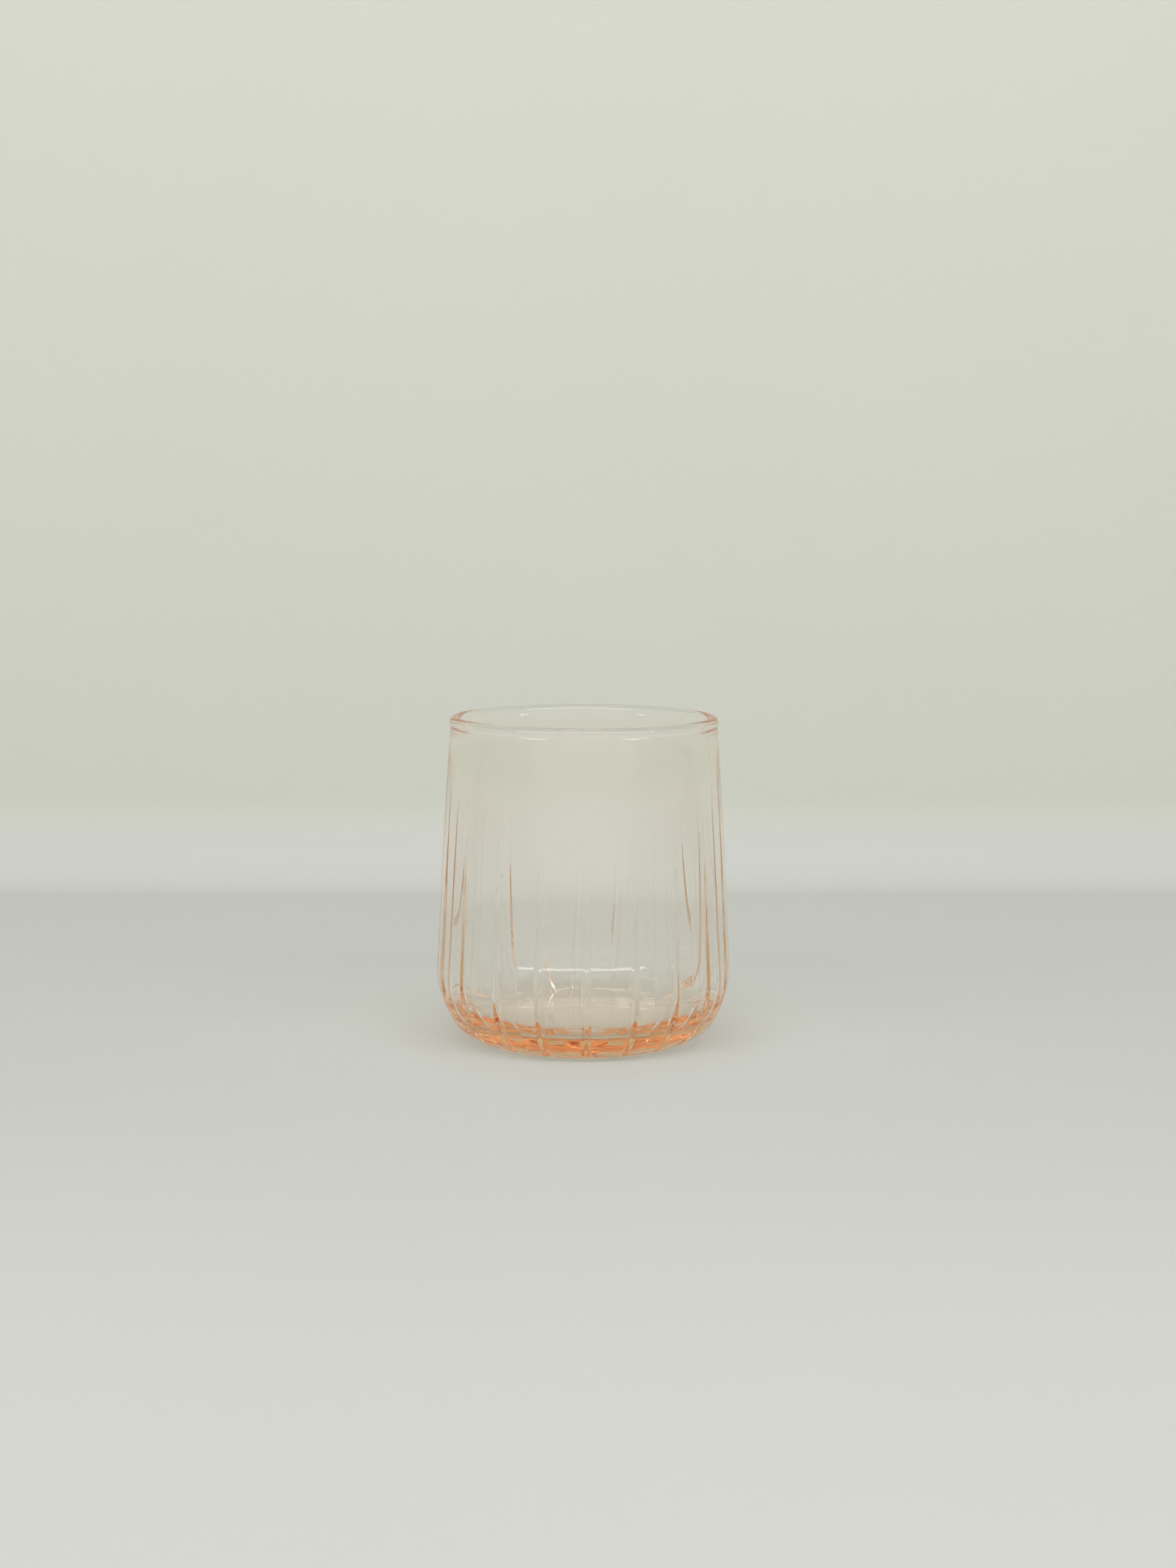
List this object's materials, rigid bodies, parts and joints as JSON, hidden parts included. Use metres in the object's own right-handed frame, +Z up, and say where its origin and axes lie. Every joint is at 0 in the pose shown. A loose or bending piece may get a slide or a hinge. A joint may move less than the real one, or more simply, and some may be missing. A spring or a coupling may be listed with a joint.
{
  "type": "juice glass",
  "caption": "Heavy-based tumbler of clear pale pink glass for juice: round heel, wall drawn in to a beaded lip, and narrow upright grooves that part the outside into panels.",
  "frame": {"origin": "centre of the ring that the glass stands on, on the table plane", "axes": "+Z up along the glass's axis; one groove faces -Y"},
  "size_m": [0.0768, 0.0768, 0.0845],
  "materials": {
    "pink_glass": "clear and fire-polished"
  },
  "bodies": {
    "root": {"rim_lip": "pink_glass", "upper_wall": "pink_glass", "panel_wall": "pink_glass", "panel_heel": "pink_glass", "floor_disc": "pink_glass"}
  },
  "joints": []
}
